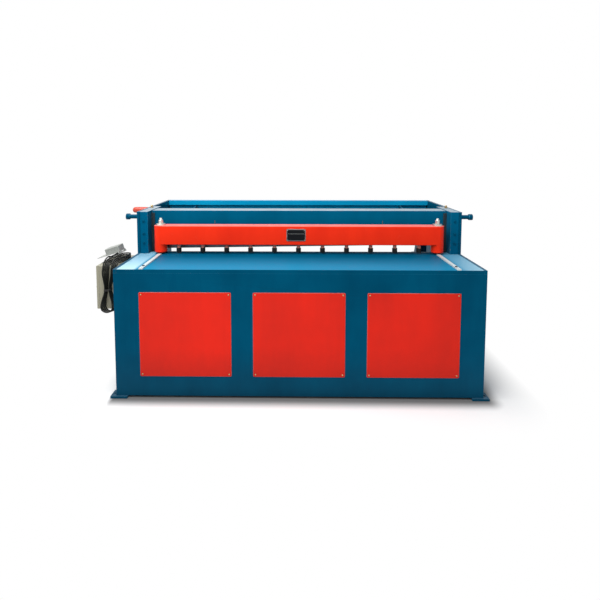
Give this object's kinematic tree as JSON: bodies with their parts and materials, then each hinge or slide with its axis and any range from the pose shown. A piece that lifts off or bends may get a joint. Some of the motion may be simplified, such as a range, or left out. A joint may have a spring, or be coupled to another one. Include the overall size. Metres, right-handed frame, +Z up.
{
  "type": "shearing machine",
  "caption": "Floor-standing plate shear with a table, a raked blade on a driven carrier, a hold-down beam, a back gauge and a cable foot switch.",
  "frame": {"origin": "centre of the four anchor holes, on the floor under the foot plates", "axes": "+X along the blades to the right of the operator, +Y from the operator to the back, +Z up"},
  "size_m": [2.6835, 1.32, 1.182],
  "materials": {
    "blue_paint": "semi-gloss machine enamel",
    "red_covers": "semi-gloss enamel on sheet",
    "red_beam": "semi-gloss enamel",
    "zinc": "zinc plated",
    "tool_steel": "ground and oiled",
    "bright_steel": "machined",
    "spring_steel": "oiled",
    "cast": "cast, machined on the working faces",
    "bronze": "machined",
    "pulley_steel": "turned",
    "motor_paint": "grey enamel",
    "black_rubber": "matt",
    "cable_rubber": "matt sheath",
    "chute_sheet": "galvanised sheet",
    "plate_black": "anodised plate with a light rim",
    "cabinet_paint": "fine textured powder coat",
    "hinge_steel": "plated",
    "green_plastic": "moulded",
    "red_plastic": "moulded",
    "black_plastic": "moulded",
    "switch_paint": "grey enamel on sheet steel"
  },
  "bodies": {
    "root": {"right_side_frame": "blue_paint", "left_side_frame": "blue_paint", "front_panel": "blue_paint", "table_plate": "blue_paint", "bed_beam": "blue_paint", "foot_plates": "blue_paint", "rear_tie_beam": "blue_paint", "cross_channels": "blue_paint", "guide_posts": "blue_paint", "guide_post_bolts": "blue_paint", "drive_pedestals": "blue_paint", "drive_guard": "blue_paint", "lifting_pins": "blue_paint", "gauge_brackets": "blue_paint", "left_cover": "red_covers", "middle_cover": "red_covers", "right_cover": "red_covers", "cover_screws": "zinc", "hold_down_studs": "zinc", "squaring_strip_screws": "zinc", "lower_blade": "tool_steel", "lower_blade_bolts": "tool_steel", "squaring_strips": "bright_steel", "slide_guides": "bright_steel", "hold_down_springs": "spring_steel", "shaft_bearings": "cast", "oil_cups": "bronze", "motor": "motor_paint", "drive_belts": "black_rubber", "cable_hank": "cable_rubber", "cable_ends": "cable_rubber", "rear_chute": "chute_sheet", "cabinet_box": "cabinet_paint", "cabinet_hinges": "hinge_steel", "cable_gland": "black_plastic", "foot_switch_base": "switch_paint"},
    "carrier": {"blade_carrier": "blue_paint", "upper_blade": "tool_steel", "upper_blade_bolts": "tool_steel", "carrier_arms": "blue_paint"},
    "main_shaft": {"main_shaft": "bright_steel"},
    "left_block": {"left_slide_block": "bronze"},
    "right_block": {"right_slide_block": "bronze"},
    "main_gear": {"main_gear": "cast"},
    "countershaft": {"pinion_shaft": "bright_steel", "flywheel": "cast"},
    "motor_pulley": {"motor_pulley": "pulley_steel"},
    "hold_down": {"hold_down_beam": "red_beam", "clamp_stems": "red_beam", "clamp_pads": "black_rubber", "nameplate": "plate_black"},
    "gauge": {"gauge_racks": "bright_steel", "stop_bar": "blue_paint"},
    "gauge_shaft": {"gauge_cross_shaft": "bright_steel", "crank_arm": "bright_steel"},
    "crank_grip": {"crank_grip": "red_plastic"},
    "cabinet_door": {"cabinet_door": "cabinet_paint"},
    "start_button": {"start_button": "green_plastic"},
    "stop_button": {"stop_button": "red_plastic"},
    "foot_pedal": {"foot_switch_pedal": "switch_paint"}
  },
  "joints": [
    {"name": "carrier_slide", "type": "slide", "parent": "root", "child": "carrier", "axis": [0, 0, -1], "range_m": [0, 0.05898]},
    {"name": "main_shaft_turn", "type": "hinge", "parent": "root", "child": "main_shaft", "pos_m": [0, 0.08, 0.54], "axis": [-1, 0, 0], "range_deg": [0, 110]},
    {"name": "left_block_turn", "type": "hinge", "parent": "main_shaft", "child": "left_block", "pos_m": [-1.084, 0.10065, 0.56949], "axis": [-1, 0, 0], "range_deg": [-110, 0]},
    {"name": "right_block_turn", "type": "hinge", "parent": "main_shaft", "child": "right_block", "pos_m": [1.084, 0.10065, 0.56949], "axis": [-1, 0, 0], "range_deg": [-110, 0]},
    {"name": "countershaft_turn", "type": "hinge", "parent": "root", "child": "countershaft", "pos_m": [0, 0.31931, 0.5822], "axis": [1, 0, 0], "continuous": true},
    {"name": "main_gear_turn", "type": "hinge", "parent": "root", "child": "main_gear", "pos_m": [0, 0.08, 0.54], "axis": [1, 0, 0], "continuous": true},
    {"name": "motor_pulley_turn", "type": "hinge", "parent": "root", "child": "motor_pulley", "pos_m": [0, 0.5, 0.215], "axis": [1, 0, 0], "continuous": true},
    {"name": "hold_down_slide", "type": "slide", "parent": "root", "child": "hold_down", "axis": [0, 0, -1], "range_m": [0, 0.012], "stiffness_N_per_m": 20000, "springref_m": -0.08, "deforming": ["hold_down_springs"]},
    {"name": "gauge_slide", "type": "slide", "parent": "root", "child": "gauge", "axis": [0, 1, 0], "range_m": [-0.22, 0.06]},
    {"name": "gauge_shaft_turn", "type": "hinge", "parent": "root", "child": "gauge_shaft", "pos_m": [0, 0.26, 1.045], "axis": [1, 0, 0], "range_deg": [-372, 102]},
    {"name": "crank_grip_turn", "type": "hinge", "parent": "gauge_shaft", "child": "crank_grip", "pos_m": [-1.28, 0.174, 1.127], "axis": [1, 0, 0], "continuous": true},
    {"name": "cabinet_door_hinge", "type": "hinge", "parent": "root", "child": "cabinet_door", "pos_m": [-1.3405, -0.1807, 0.69], "axis": [0, 0, -1], "range_deg": [0, 110]},
    {"name": "start_button_push", "type": "slide", "parent": "cabinet_door", "child": "start_button", "axis": [1, 0, 0], "range_m": [0, 0.004], "stiffness_N_per_m": 800, "springref_m": -0.004},
    {"name": "stop_button_push", "type": "slide", "parent": "cabinet_door", "child": "stop_button", "axis": [1, 0, 0], "range_m": [0, 0.006], "stiffness_N_per_m": 800, "springref_m": -0.004},
    {"name": "foot_pedal_press", "type": "hinge", "parent": "root", "child": "foot_pedal", "pos_m": [-1.2274, -0.38, 0.90904], "axis": [0, -1, 0], "range_deg": [0, 7.5], "stiffness_Nm_per_rad": 8, "springref_deg": -17.19}
  ],
  "couplings": [
    {"joint": "main_shaft_turn", "follows": "carrier_slide", "rad_per_m": 32.55},
    {"joint": "left_block_turn", "follows": "carrier_slide", "rad_per_m": -32.55},
    {"joint": "right_block_turn", "follows": "carrier_slide", "rad_per_m": -32.55},
    {"joint": "main_gear_turn", "follows": "countershaft_turn", "ratio": -0.26562},
    {"joint": "motor_pulley_turn", "follows": "countershaft_turn", "ratio": 2.6575},
    {"joint": "gauge_shaft_turn", "follows": "gauge_slide", "rad_per_m": 29.412}
  ]
}
